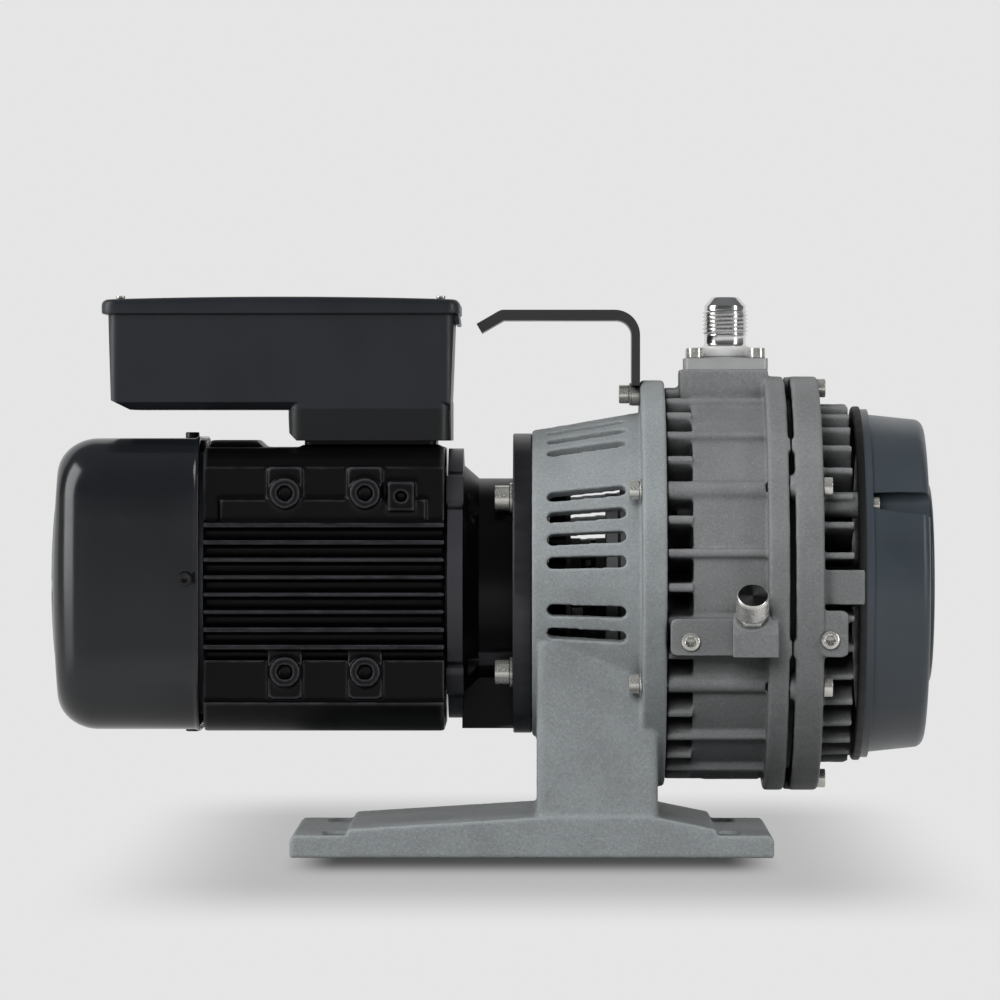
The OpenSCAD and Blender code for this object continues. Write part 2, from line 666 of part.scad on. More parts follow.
module motor_frame() color(c_black) difference() {
    union() {
        plate(x_frame0, x_frame1) frame_section();
        side_profile(-32, 32) polygon([[x_frame0 + 1, 205], [x_frame0 + 2.5, 218.5], [-146, 218.5],
            [-141.5, axis_h + frame_top - 0.5], [-141.5, 205]]);
        side_profile(-36, 36) polygon([[-125, 205], [-125, axis_h + frame_top - 0.5], [-121, neck_z],
            [-50, neck_z], [-47, axis_h + frame_top - 0.5], [-47, 205]]);
        for (x = [-129.4, -87.4]) {
            lug(x, 48.7);
            lug(x, -45);
        }
        // raised strip under the upper lugs, and the earth terminal beside them
        for (s = [-1, 1]) translate([-163.7, s > 0 ? frame_half - 8 : -frame_half + 2, axis_h + 35])
            cube([108.1, 6, 10.4]);
        for (s = [-1, 1]) translate([-75.6, s > 0 ? frame_half - 8 : -frame_half, axis_h + 39.5])
            cube([14.1, 8, 15.3]);
    }
    for (s = [-1, 1]) translate([-68.5, s * (frame_half + 1), axis_h + 47]) rotate([s * 90, 0, 0])
        cylinder(h = 5, r = 3);
    bar(x_frame0 - through, x_frame1 + through, 57);
    for (x = [-129.4, -87.4], z = [48.7, -45], s = [-1, 1])
        translate([x, s * (frame_half - 3), axis_h + z]) rotate([-s * 90, 0, 0]) cylinder(h = 10, r = 4);
    translate([box_neck_x, 0, axis_h + 50]) cylinder(h = 30, r = 9);
}

module stator_core() color(c_core) plate(-142, -72) difference() {
    circle(56.9);
    circle(38.5);
    for (a = [0 : 15 : 345]) rotate(a) translate([38, -1.5]) square([10, 3]);
}

module stator_windings() color(c_copper) {
    tube(-157, -142.05, 54, 41);
    tube(-71.95, -57, 54, 41);
}

module rear_end_shield() color(c_black) difference() {
    union() {
        bar(-178, x_frame0, 70);
        bar(x_frame0 - eps, -168, 56.9);
        bar(-184, -177, 24);
    }
    bar(-182, -165, 17.5);
    bar(-190, -160, 9);
}

motor_bore_r = 7.5;
module motor_bearings() color(c_steel) {
    ball_bearing(-181.9, 11, 17.45, motor_bore_r + run_gap);
    ball_bearing(-40.1, 11, 17.45, motor_bore_r + run_gap);
}

cowl_x0 = -256;
cowl_x1 = -174.5;
cowl_edge_r = 19;
cowl_dome_r = 420;      // the closed end bulges as part of a large circle

// A side view of the cowl with a rounded closed end, drawn along +x from the closed end
module cowl_side(inset) {
    l = cowl_x1 - cowl_x0 + 20;
    flat_half = cowl_half - cowl_edge_r;
    drop = cowl_dome_r - sqrt(pow(cowl_dome_r, 2) - pow(flat_half, 2));
    swing = asin(flat_half / cowl_dome_r);
    translate([l / 2 + inset + drop, 0]) rrect(l, 2 * (cowl_half - inset), cowl_edge_r - inset);
    polygon(concat([[cowl_edge_r + inset, flat_half]],
        arc([cowl_dome_r + inset, 0], cowl_dome_r, 180 - swing, 180 + swing, 24),
            [[cowl_edge_r + inset, -flat_half]]));
}

module cowl_solid(inset) intersection() {
    plate(cowl_x0, cowl_x1) rrect(2 * (cowl_half - inset), 2 * (cowl_half - inset), cowl_corner_r - inset);
    translate([cowl_x0, 0, axis_h]) side_profile(-100, 100) cowl_side(inset);
    translate([cowl_x0, 0, axis_h - 100]) linear_extrude(200) cowl_side(inset);
}

cowl_t = 1.5;
cowl_screw_x = -181.5;

// Puts children on the middle of each side of the cowl, 3 mm below its surface
module cowl_holes() for (a = [0 : 90 : 270])
    translate([cowl_screw_x, 0, axis_h]) rotate([a, 0, 0]) translate([0, 3.5 * sin(a), cowl_half - 3])
        children();

module fan_cowl() color(c_gloss) difference() {
    cowl_solid(0);
    cowl_solid(cowl_t);
    plate(cowl_x1 - 5, cowl_x1 + through)
        rrect(2 * (cowl_half - cowl_t), 2 * (cowl_half - cowl_t), cowl_corner_r - cowl_t);
    cowl_holes() cylinder(h = 6, r = 2.05);
    // intake grille
    plate(cowl_x0 - through, cowl_x0 + 8) for (r = [18 : 12 : 54], q = [0 : 90 : 270]) intersection() {
        difference() {
            circle(r + 3.2);
            circle(r - 3.2);
        }
        rotate(q) translate([3, 3]) square(60);
    }
}

module cowl_screws() color(c_black) cowl_holes() translate([0, 0, 3]) cross_screw(7.4, 3.2, 4, 6);

// ---------- capacitor box ----------
box_z = 234.5;
block_z = 218.2;
lid_z = 285;
box_y = 52;
box_edge = 4.2;         // chamfer along the lower edges of the box
module box_body() intersection() {
    side_profile(-box_y, box_y) polygon([
        [-212, box_z], [-43, box_z], [-41, lid_z], [-223.5, lid_z], [-222, box_z + 5]
    ]);
    translate([-132.25, 0, box_z - 1]) linear_extrude(60) rrect(182.6, 2 * box_y, 6);
    translate([-230, 0, 0]) rotate([90, 0, 90]) linear_extrude(200) polygon([
        [-box_y + box_edge, box_z], [box_y - box_edge, box_z], [box_y, box_z + box_edge], [box_y, lid_z],
        [-box_y, lid_z], [-box_y, box_z + box_edge]
    ]);
}

module box_cavity() intersection() {
    side_profile(-box_y + 3, box_y - 3) polygon([
        [-210, box_z + 3], [-46, box_z + 3], [-44, lid_z + 1], [-220.5, lid_z + 1], [-219, box_z + 7]
    ]);
    translate([-132.25, 0, box_z - 1]) linear_extrude(80) rrect(176.6, 2 * box_y - 6, 3);
}

module capacitor_box() color(c_black) difference() {
    union() {
        box_body();
        intersection() {
            translate([box_neck_x, 0, block_z]) linear_extrude(box_z - block_z + box_edge)
                rrect(86, 2 * box_y, 8);
            side_profile(-box_y, box_y) polygon([[-124, block_z], [-128, block_z + 4], [-129, box_z + 6],
                [-42, box_z + 6], [-42, block_z]]);
        }
        translate([box_neck_x, 0, neck_z]) linear_extrude(block_z - neck_z + eps) rrect(70, 68, 5);
    }
    box_cavity();
    translate([box_neck_x, 0, neck_z - through]) cylinder(h = 24, r = 12);
    translate([-60, box_y + 1, 250]) rotate([90, 0, 0]) cylinder(h = 10, r = 8);
}

lid_l = 189;
lid_top = 293.5;
module box_lid() color(c_black) difference() {
    union() {
        translate([-132.5, 0, lid_z]) linear_extrude(6.5) rrect(lid_l, 110, 7);
        translate([-132.5, 0, lid_z + 6.5 - eps]) linear_extrude(lid_top - lid_z - 6.5)
            rrect(lid_l - 8, 102, 6);
        translate([-40.6, -47, 279.6]) cube([2.6, 94, 6]);
    }
    translate([-132.5, 0, lid_z - through]) linear_extrude(5) rrect(174, 94, 3);
    for (sx = [-1, 1], sy = [-1, 1]) translate([-132.5 + sx * 84.5, sy * 46, lid_z - 2])
        cylinder(h = 20, d = 4.2);
}

module lid_screws() color(c_zinc) for (sx = [-1, 1], sy = [-1, 1])
    translate([-132.5 + sx * 84.5, sy * 46, lid_top]) cross_screw(7.4, 1.3, 4, 8);

module capacitors() color("#2d3033") for (x = [-215, -133]) difference() {
    translate([x, -14, 261]) rotate([0, 90, 0]) cylinder(h = 78, r = 19);
    translate([x - 1, -14, 261]) rotate([0, 90, 0]) cylinder(h = 3, r = 17);
}

module terminal_block() color(c_white) difference() {
    translate([-110, 18, box_z + 3]) cube([50, 24, 14]);
    for (i = [0 : 5]) translate([-106 + 8 * i, 30, box_z + 12]) cylinder(h = 10, d = 5);
}

module cable_gland() color(c_black) translate([-60, box_y - 3, 250]) rotate([-90, 0, 0]) difference() {
    union() {
        translate([0, 0, -4]) cylinder(h = 3.9, d = 22, $fn = 6);
        translate([0, 0, -1]) cylinder(h = 10, r = 7.9);
        translate([0, 0, 3]) cylinder(h = 6, d = 22, $fn = 6);
        translate([0, 0, 9 - eps]) cylinder(h = 9, r1 = 9.5, r2 = 7);
    }
    translate([0, 0, -6]) cylinder(h = 30, r = 4);
}

// ---------- drive line ----------
ecc_r = 17;
module crankshaft() color(c_steel) {
    bar(34, 50, 9);
    bar(50 - eps, 62, 12);
    bar(62 - eps, 93, journal_r);
    translate([0, 0, orbit_r]) bar(93 - eps, 128, ecc_r);
    bar(128 - eps, 155, journal_r);
    bar(155 - eps, 200, 8);
}

module counterweights() color(c_core) {
    plate(21, 27) difference() {
        circle(44);
        circle(24.1);
        translate([-50, -12]) square([100, 100]);
    }
    plate(160, 167) difference() {
        circle(30);
        circle(8);
        translate([-50, -2]) square([100, 100]);
    }
}

module blades(x0, x1, r0, r1, n, t) plate(x0, x1) for (a = [0 : 360 / n : 359]) rotate(a)
    radial_bar(r0, r1, t);

module front_fan() color(c_black) {
    tube(170, 200, 13, 8);
    tube(174.5, 177.5, 74, 12);
    blades(177.4, 198, 30, 74, 12, 2.2);
    tube(194, 198, 34, 12);
}

module rear_cooling_fan() color(c_black) {
    tube(9, 20.5, 30, 24);
    tube(18, 20.5, 62, 29);
    blades(9.5, 18.1, 29, 60, 16, 2);
}

module coupling_jaws(x0, x1, offset_a) plate(x0, x1) for (a = [0, 120, 240]) rotate(a + offset_a)
    intersection() {
        difference() {
            circle(23.5);
            circle(12);
        }
        polygon([[0, 0], [40, -12], [40, 12]]);
    }

module motor_coupling_hub() color(c_black) {
    tube(9, 26, 24, 7);
    coupling_jaws(26 - eps, 31.5, 0);
}

module pump_coupling_hub() color(c_black) {
    tube(34, 41, 24, 9);
    coupling_jaws(28.5, 34 + eps, 60);
}

module coupling_spider() color("#26211f") plate(28.6, 31.4) {
    difference() {
        circle(11.6);
        circle(7.4);
    }
    for (a = [30 : 60 : 330]) rotate(a) radial_bar(10.5, 22.5, 3.4);
}

module motor_shaft() color(c_steel) {
    bar(-235, -185, 6);
    bar(-185 - eps, -29, motor_bore_r);
    bar(-29 - eps, 28, 7);
}

module motor_rotor() color(c_core) {
    tube(-142, -72, 37.8, motor_bore_r);
    for (x = [-150, -72 - eps]) tube(x, x + 8, 34, 20);
}

module motor_fan() color(c_black) {
    tube(-214, -194, 12, 6);
    tube(-198, -195, 62, 11.5);
    blades(-214, -197.9, 22, 62, 8, 2);
}

// ---------- orbiting scroll ----------
module at_orbit() translate([0, 0, orbit_r]) children();

module orbiting_scroll() color(c_steel) at_orbit() difference() {
    union() {
        bar(106.4, 114.6, 74);
        bar(94, 127.5, 26);
        plate(92.5, 128.5) rotate(180) wrap(orbit_start_r, wrap_end_r, wrap_t);
        plate(106.4, 114.6) ring_of((crank_circle_r + 60) / 2, crank_angles)
            square([crank_circle_r - 60, 15], center = true);
        plate(98, 114.6) ring_of(crank_circle_r, crank_angles) circle(7.5);
    }
    bar(90, 130, 22);
    for (a = crank_angles) polar(crank_circle_r, a) facing_front(97) cylinder(h = 20, r = 5.5);
}

module orbit_bearings() color(c_bronze) at_orbit() {
    tube(95, 107, 22, ecc_r + run_gap);
    tube(114, 126, 22, ecc_r + run_gap);
}

module orbiting_tip_seals() color(c_white) at_orbit() {
    plate(92.2, 92.5) rotate(180) wrap(30, wrap_end_r - 3, 2.4);
    plate(128.5, 128.8) rotate(180) wrap(30, wrap_end_r - 3, 2.4);
}

crank_journal_r = 4;
crank_pin_r = 3;
module crank_pin_bearings() color(c_bronze) for (a = crank_angles) {
    polar(crank_circle_r, a) facing_front(77) difference() {
        cylinder(h = 14.5, r = 6.5);
        translate([0, 0, -through]) cylinder(h = 20, r = crank_journal_r + run_gap);
    }
}

module pin_crank(a) color(c_steel) polar(crank_circle_r, a) {
    facing_front(77) cylinder(h = 15.4, r = crank_journal_r);
    facing_front(92.4 - eps) cylinder(h = 3.4, r = 7.4);
    at_orbit() facing_front(95.8 - 2 * eps) cylinder(h = 18, r = crank_pin_r);
}

module pin_crank_1() pin_crank(crank_angles[0]);
module pin_crank_2() pin_crank(crank_angles[1]);
module pin_crank_3() pin_crank(crank_angles[2]);

bell_bracket();
lifting_hook();
hook_bush();
bracket_bolts();
rear_fixed_scroll();
front_fixed_scroll();
housing_seal();
housing_bolts();
bearing_carrier();
carrier_screws();
main_bearings();
shaft_seals();
fixed_tip_seals();
inlet_flange();
inlet_bolts();
inlet_fitting();
inlet_strainer();
ballast_valve_body();
plug_screws();
exhaust_block();
exhaust_fitting();
fan_cover();
fan_guard();
cover_screws();
drive_end_shield();
motor_bolts();
motor_frame();
stator_core();
stator_windings();
rear_end_shield();
motor_bearings();
fan_cowl();
cowl_screws();
capacitor_box();
box_lid();
lid_screws();
capacitors();
terminal_block();
cable_gland();
crankshaft();
counterweights();
front_fan();
rear_cooling_fan();
pump_coupling_hub();
coupling_spider();
motor_coupling_hub();
motor_shaft();
motor_rotor();
motor_fan();
orbiting_scroll();
orbit_bearings();
orbiting_tip_seals();
crank_pin_bearings();
pin_crank_1();
pin_crank_2();
pin_crank_3();
ballast_knob();
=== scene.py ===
"""Looks of a dry scroll vacuum pump with its flange motor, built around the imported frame."""
import json
import math

import bpy
from mathutils import Matrix, Vector

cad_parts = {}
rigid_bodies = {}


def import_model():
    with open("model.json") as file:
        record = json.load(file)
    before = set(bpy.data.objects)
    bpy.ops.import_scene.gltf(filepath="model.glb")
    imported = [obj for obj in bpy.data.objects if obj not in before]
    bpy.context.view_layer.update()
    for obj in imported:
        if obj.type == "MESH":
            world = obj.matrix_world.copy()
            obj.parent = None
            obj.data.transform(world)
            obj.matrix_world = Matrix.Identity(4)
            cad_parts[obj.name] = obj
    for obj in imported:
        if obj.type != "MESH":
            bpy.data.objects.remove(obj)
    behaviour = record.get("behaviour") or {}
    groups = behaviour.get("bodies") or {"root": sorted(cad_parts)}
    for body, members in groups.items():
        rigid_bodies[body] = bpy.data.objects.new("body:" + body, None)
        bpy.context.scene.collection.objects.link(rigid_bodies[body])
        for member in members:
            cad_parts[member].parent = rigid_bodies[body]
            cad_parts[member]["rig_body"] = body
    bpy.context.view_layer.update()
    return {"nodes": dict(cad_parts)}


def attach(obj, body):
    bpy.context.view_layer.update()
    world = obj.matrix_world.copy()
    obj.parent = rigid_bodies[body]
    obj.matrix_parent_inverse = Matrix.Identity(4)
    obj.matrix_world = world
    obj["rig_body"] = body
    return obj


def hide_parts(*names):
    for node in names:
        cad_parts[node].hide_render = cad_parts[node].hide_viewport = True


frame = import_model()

MM = 0.001
nodes = frame["nodes"]


# ---------- material graphs ----------
class Graph:
    """A node material that ends in one Principled shader. Sizes and depths are in millimetres."""

    def __init__(self, name):
        self.material = bpy.data.materials.new(name)
        self.material.use_nodes = True
        self.tree = self.material.node_tree
        self.shader = self.tree.nodes["Principled BSDF"]
        self.coords = self.add("ShaderNodeTexCoord").outputs["Object"]

    def add(self, kind, **settings):
        node = self.tree.nodes.new(kind)
        for key, value in settings.items():
            setattr(node, key, value)
        return node

    def feed(self, socket, value):
        """Links a socket to another, or sets it to a number or a colour."""
        if isinstance(value, bpy.types.NodeSocket):
            self.tree.links.new(value, socket)
        elif isinstance(value, (int, float)):
            socket.default_value = value
        else:
            opaque = len(value) == 3 and len(socket.default_value) == 4
            socket.default_value = (*value, 1.0) if opaque else value

    def place(self, axis):
        """The place along one axis, in metres."""
        node = self.add("ShaderNodeSeparateXYZ")
        self.feed(node.inputs[0], self.coords)
        return node.outputs[axis]

    def noise(self, size, detail=3.0, roughness=0.55, stretch=None):
        node = self.add("ShaderNodeTexNoise")
        vector = self.coords
        if stretch:
            mapping = self.add("ShaderNodeMapping")
            self.feed(mapping.inputs["Vector"], self.coords)
            mapping.inputs["Scale"].default_value = stretch
            vector = mapping.outputs["Vector"]
        self.feed(node.inputs["Vector"], vector)
        node.inputs["Scale"].default_value = 1 / (size * MM)
        node.inputs["Detail"].default_value = detail
        node.inputs["Roughness"].default_value = roughness
        return node.outputs["Fac"]

    def remap(self, value, low, high, to_low=0.0, to_high=1.0, kind="LINEAR"):
        node = self.add("ShaderNodeMapRange", interpolation_type=kind)
        self.feed(node.inputs["Value"], value)
        for name, number in (("From Min", low), ("From Max", high), ("To Min", to_low), ("To Max", to_high)):
            self.feed(node.inputs[name], number)
        return node.outputs["Result"]

    def blend(self, factor, first, second):
        node = self.add("ShaderNodeMix", data_type="RGBA")
        self.feed(node.inputs["Factor"], factor)
        self.feed([s for s in node.inputs if s.name == "A" and s.type == "RGBA"][0], first)
        self.feed([s for s in node.inputs if s.name == "B" and s.type == "RGBA"][0], second)
        return [s for s in node.outputs if s.type == "RGBA"][0]

    def sums(self, operation, first, second=0.0):
        node = self.add("ShaderNodeMath", operation=operation)
        self.feed(node.inputs[0], first)
        self.feed(node.inputs[1], second)
        return node.outputs[0]

    def convex(self, low=0.505, high=0.56):
        """1 on outer edges of a fine mesh and 0 on its flats."""
        return self.remap(self.add("ShaderNodeNewGeometry").outputs["Pointiness"], low, high)

    def painted_shade(self, reach, low=0.5, high=0.12, most=1.0):
        """0 in the open, and up to most where walls stand close on all sides: how much shade is painted into
        a hollow.
        """
        node = self.add("ShaderNodeAmbientOcclusion", samples=8)
        node.inputs["Distance"].default_value = reach * MM
        return self.remap(node.outputs["AO"], low, high, 0.0, most)

    def rounded(self, radius):
        """The normal of a surface whose edges are eased by a radius."""
        node = self.add("ShaderNodeBevel", samples=4)
        node.inputs["Radius"].default_value = radius * MM
        return node.outputs["Normal"]

    def bump(self, height, depth, under=None):
        node = self.add("ShaderNodeBump")
        node.inputs["Distance"].default_value = depth * MM
        self.feed(node.inputs["Height"], height)
        if under is not None:
            self.feed(node.inputs["Normal"], under)
        return node.outputs["Normal"]

    def finish(self, colour, roughness, normal=None, plain=None):
        """Feeds the shader. plain holds the sockets that have one value all over."""
        self.feed(self.shader.inputs["Base Color"], colour)
        self.feed(self.shader.inputs["Roughness"], roughness)
        if normal is not None:
            self.feed(self.shader.inputs["Normal"], normal)
        for name, value in (plain or {}).items():
            self.feed(self.shader.inputs[name], value)
        return self.material


def scaled(colour, by):
    return tuple(c * by for c in colour)


def cast_paint(name, colour, grain=1.3, depth=0.12, rough=0.6):
    """Satin paint over a sand casting: fine grain, speckle, rubbed edges and painted shade in its pockets."""
    g = Graph(name)
    speckle = g.noise(grain, 4, 0.7)
    tone = g.blend(g.remap(g.noise(38, 3), 0.35, 0.65), scaled(colour, 0.9), scaled(colour, 1.07))
    tone = g.blend(g.remap(speckle, 0.52, 0.72, 0.0, 0.55), tone, scaled(colour, 1.6))
    tone = g.blend(g.remap(speckle, 0.46, 0.3, 0.0, 0.5), tone, scaled(colour, 0.55))
    tone = g.blend(g.sums("MULTIPLY", g.convex(), 0.4), tone, scaled(colour, 1.6))
    # painted shade: pockets and narrow gaps darkened almost to black
    tone = g.blend(g.painted_shade(20, 0.62, 0.2, 0.95), tone, scaled(colour, 0.05))
    normal = g.bump(g.noise(grain * 2.6, 2, 0.5), depth * 1.6)
    normal = g.bump(speckle, depth, normal)
    roughness = g.remap(g.noise(grain * 3, 3), 0.3, 0.7, rough - 0.08, rough + 0.1)
    return g.finish(tone, roughness, normal, {"Specular IOR Level": 0.35})


def smooth_paint(name, colour, rough, peel=0.9, depth=0.015, ease=0.6, plain=None, shadow=None, edge=0.0):
    """Sprayed or powder-coated metal: a fine orange peel, slow changes of gloss, and painted shade in its
    hollows.

    shadow is a height in millimetres below which the paint is darkened, as painted shade of a narrow gap.
    edge is how far the outer edges of a fine mesh are painted pale, as a painted highlight."""
    g = Graph(name)
    tone = g.blend(g.remap(g.noise(45, 3), 0.3, 0.7), scaled(colour, 0.88), scaled(colour, 1.14))
    # painted highlight: outer edges of a fine mesh lightened far above the paint's own colour
    if edge:
        tone = g.blend(g.sums("MULTIPLY", g.convex(0.505, 0.54), edge), tone, scaled(colour, 45.0))
    # painted shade: hollows darkened
    tone = g.blend(g.painted_shade(14, 0.45, 0.1, 0.85), tone, scaled(colour, 0.1))
    # painted shade: everything below a height darkened
    if shadow:
        below = g.remap(g.place("Z"), shadow * MM, (shadow + 1) * MM, 0.85, 0.0)
        tone = g.blend(below, tone, scaled(colour, 0.1))
    roughness = g.remap(g.noise(22, 4, 0.6), 0.3, 0.7, rough * 0.85, rough * 1.15)
    normal = g.bump(g.noise(peel, 2), depth, g.rounded(ease))
    return g.finish(tone, roughness, normal, plain)


def metal(name, colour, rough, lines=None, grain=0.5, depth=0.01, plain=None, pocket=(2, 0.4, 0.08),
          satin=None):
    """Bare or plated metal. lines stretches the grain into tool marks, as a scale along each axis.

    pocket says how the corners that get painted shade are found: a reach, and where the shade starts and is
    full.
    satin is a height in millimetres below which the metal is dull."""
    g = Graph(name)
    tone = g.blend(g.remap(g.noise(9, 4), 0.3, 0.7), scaled(colour, 0.88), colour)
    # painted shade: corners and recesses darkened
    tone = g.blend(g.painted_shade(*pocket, 0.9), tone, scaled(colour, 0.06))
    marks = g.noise(grain, 3, 0.6, stretch=lines)
    roughness = g.remap(marks, 0.3, 0.7, rough * 0.75, rough * 1.3)
    normal = g.bump(marks, depth, g.rounded(0.25))
    if not satin:
        return g.finish(tone, roughness, normal, {"Metallic": 1.0, **(plain or {})})
    dull = g.remap(g.place("Z"), satin * MM, (satin + 0.5) * MM, 1.0, 0.0)
    g.feed(g.shader.inputs["Metallic"], g.remap(dull, 0.0, 1.0, 1.0, 0.2))
    return g.finish(tone, g.sums("ADD", roughness, g.sums("MULTIPLY", dull, 0.3)), normal, plain)


def moulded(name, colour, rough, grain=0.6, depth=0.02):
    """Moulded rubber or plastic with a fine texture."""
    g = Graph(name)
    tone = g.blend(g.remap(g.noise(14, 4), 0.3, 0.7), scaled(colour, 0.85), scaled(colour, 1.15))
    roughness = g.remap(g.noise(5, 3), 0.3, 0.7, rough - 0.08, rough + 0.08)
    return g.finish(tone, roughness, g.bump(g.noise(grain, 3), depth, g.rounded(0.4)))


KNOB_TOP = 16.9         # height of the knob's black disc above its seat
KNOB_DISC_R = 7.7


def knob_finish(name):
    """Nickel with a spun black top disc that carries a painted radial sheen, and painted shade in its
    hollows.
    """
    g = Graph(name)
    x, y, z = (g.place(axis) for axis in "XYZ")
    r = g.sums("SQRT", g.sums("ADD", g.sums("MULTIPLY", x, x), g.sums("MULTIPLY", y, y)))
    disc = g.sums("MULTIPLY", g.sums("GREATER_THAN", z, KNOB_TOP * MM),
                  g.sums("LESS_THAN", r, KNOB_DISC_R * MM))
    # painted sheen: two light and two dark sectors across the black disc
    fan = g.sums("SINE", g.sums("MULTIPLY", g.sums("ARCTAN2", y, x), 2.0))
    black = g.blend(g.remap(fan, -0.4, 1.0), (0.01, 0.01, 0.011), (0.085, 0.085, 0.087))
    rings = g.sums("SINE", g.sums("MULTIPLY", r, 2 * math.pi / (0.35 * MM)))
    # painted shade: the knurl's hollows darkened
    tone = g.blend(g.painted_shade(1.2, 0.5, 0.2, 0.7), (0.74, 0.73, 0.7), (0.1, 0.1, 0.1))
    tone = g.blend(disc, tone, black)
    height = g.sums("MULTIPLY", rings, disc)
    roughness = g.remap(g.noise(3, 3), 0.3, 0.7, 0.2, 0.34)
    return g.finish(tone, roughness, g.bump(height, 0.012), {"Metallic": 0.75})


finishes = {
    "bracket_paint": cast_paint("bracket_paint", (0.262, 0.282, 0.288), 1.1, 0.16, 0.58),
    "housing_casting": cast_paint("housing_casting", (0.19, 0.194, 0.196), 1.2, 0.15, 0.6),
    "cover_paint": smooth_paint("cover_paint", (0.045, 0.057, 0.069), 0.34, 0.7, 0.02, ease=0.8),
    # painted highlight on the edges of the motor's fins
    "motor_paint": smooth_paint("motor_paint", (0.0015, 0.0015, 0.0017), 0.34, 1.4, 0.04, ease=0.4, edge=0.6,
                                plain={"Specular IOR Level": 0.2}),
    "cowl_paint": smooth_paint("cowl_paint", (0.0085, 0.0098, 0.0118), 0.17, 3.0, 0.004, ease=0.6),
    # painted shade below 234.6 mm, on the block under the box
    "box_paint": smooth_paint("box_paint", (0.0105, 0.0125, 0.0158), 0.4, 0.6, 0.015, ease=1.2, shadow=234.6),
    "hook_coating": smooth_paint("hook_coating", (0.026, 0.026, 0.027), 0.42, 0.8, 0.02),
    # strong painted shade in the screws' sockets
    "zinc_fasteners": metal("zinc_fasteners", (0.72, 0.71, 0.66), 0.24, grain=2.0, depth=0.004,
                            plain={"Metallic": 0.75}, pocket=(3.0, 0.8, 0.3)),
    "black_screws": metal("black_screws", (0.05, 0.05, 0.052), 0.38),
    "bearing_steel": metal("bearing_steel", (0.62, 0.63, 0.64), 0.22),
    "scroll_aluminium": metal("scroll_aluminium", (0.72, 0.73, 0.73), 0.34, grain=0.8, depth=0.02),
    "machined_aluminium": metal("machined_aluminium", (0.44, 0.45, 0.45), 0.5, grain=0.5, depth=0.03,
                                plain={"Metallic": 0.35}),
    "stainless": metal("stainless", (0.8, 0.8, 0.79), 0.17, lines=(0.05, 0.05, 1.0), grain=0.25, satin=268.3),
    "knob_metal": knob_finish("knob_metal"),
    "lamination_steel": metal("lamination_steel", (0.3, 0.31, 0.32), 0.45, lines=(1.0, 0.05, 0.05)),
    "copper_wire": metal("copper_wire", (0.75, 0.3, 0.12), 0.35, grain=1.2, depth=0.1),
    "bronze": metal("bronze", (0.62, 0.45, 0.22), 0.35),
    "rubber": moulded("rubber", (0.005, 0.005, 0.005), 0.6),
    "spider_rubber": moulded("spider_rubber", (0.03, 0.028, 0.026), 0.55),
    "black_plastic": moulded("black_plastic", (0.012, 0.012, 0.013), 0.45),
    "tip_seal_plastic": moulded("tip_seal_plastic", (0.75, 0.73, 0.68), 0.5),
    "capacitor_can": metal("capacitor_can", (0.6, 0.61, 0.62), 0.3),
    "terminal_plastic": moulded("terminal_plastic", (0.72, 0.7, 0.62), 0.5),
}

slot_of = {name: part.material_slots[0].material.name for name, part in nodes.items()}
for name, part in nodes.items():
    part.material_slots[0].material = finishes[slot_of[name]]


# ---------- pieces that stand for a CAD node ----------
def stand_in(node, mesh, suffix):
    """Puts a mesh in the place of a CAD node, with its finish."""
    piece = bpy.data.objects.new(node + suffix, mesh)
    bpy.context.scene.collection.objects.link(piece)
    mesh.materials.clear()
    mesh.materials.append(finishes[slot_of[node]])
    return piece


def settle(piece, node):
    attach(piece, nodes[node]["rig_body"])
    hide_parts(node)
    return piece


def evaluated_mesh(piece):
    bpy.context.view_layer.update()
    return bpy.data.meshes.new_from_object(piece.evaluated_get(bpy.context.evaluated_depsgraph_get()))


def softened(node, voxel, smooth_passes, most_faces=95000, ripple=0.0, without=None):
    """The same shape with its edges rounded and its corners filled, as on a casting.

    without is a skin that is cut away first."""
    piece = stand_in(node, nodes[node].data.copy(), "_cast")
    if without:
        tool = bpy.data.objects.new(node + "_without", without.mesh(node + "_without"))
        bpy.context.scene.collection.objects.link(tool)
        cut(piece, tool)
    weld = piece.modifiers.new("weld", "WELD")
    weld.merge_threshold = 1e-6
    remesh = piece.modifiers.new("remesh", "REMESH")
    remesh.mode = "VOXEL"
    remesh.voxel_size = voxel * MM
    remesh.use_smooth_shade = True
    smooth = piece.modifiers.new("smooth", "SMOOTH")
    smooth.factor = 0.5
    smooth.iterations = smooth_passes
    if ripple:
        wave = bpy.data.textures.new(node + "_ripple", "CLOUDS")
        wave.noise_scale = 5 * MM
        wave.noise_depth = 2
        displace = piece.modifiers.new("ripple", "DISPLACE")
        displace.texture = wave
        displace.texture_coords = "LOCAL"
        displace.mid_level = 0.75
        displace.strength = ripple * MM
    mesh = evaluated_mesh(piece)
    piece.modifiers.clear()
    piece.data = mesh
    if len(mesh.polygons) > most_faces:
        thin = piece.modifiers.new("thin", "DECIMATE")
        thin.ratio = most_faces / len(mesh.polygons)
        mesh = evaluated_mesh(piece)
        piece.modifiers.clear()
        piece.data = mesh
    mesh.materials.clear()
    mesh.materials.append(finishes[slot_of[node]])
    return settle(piece, node)


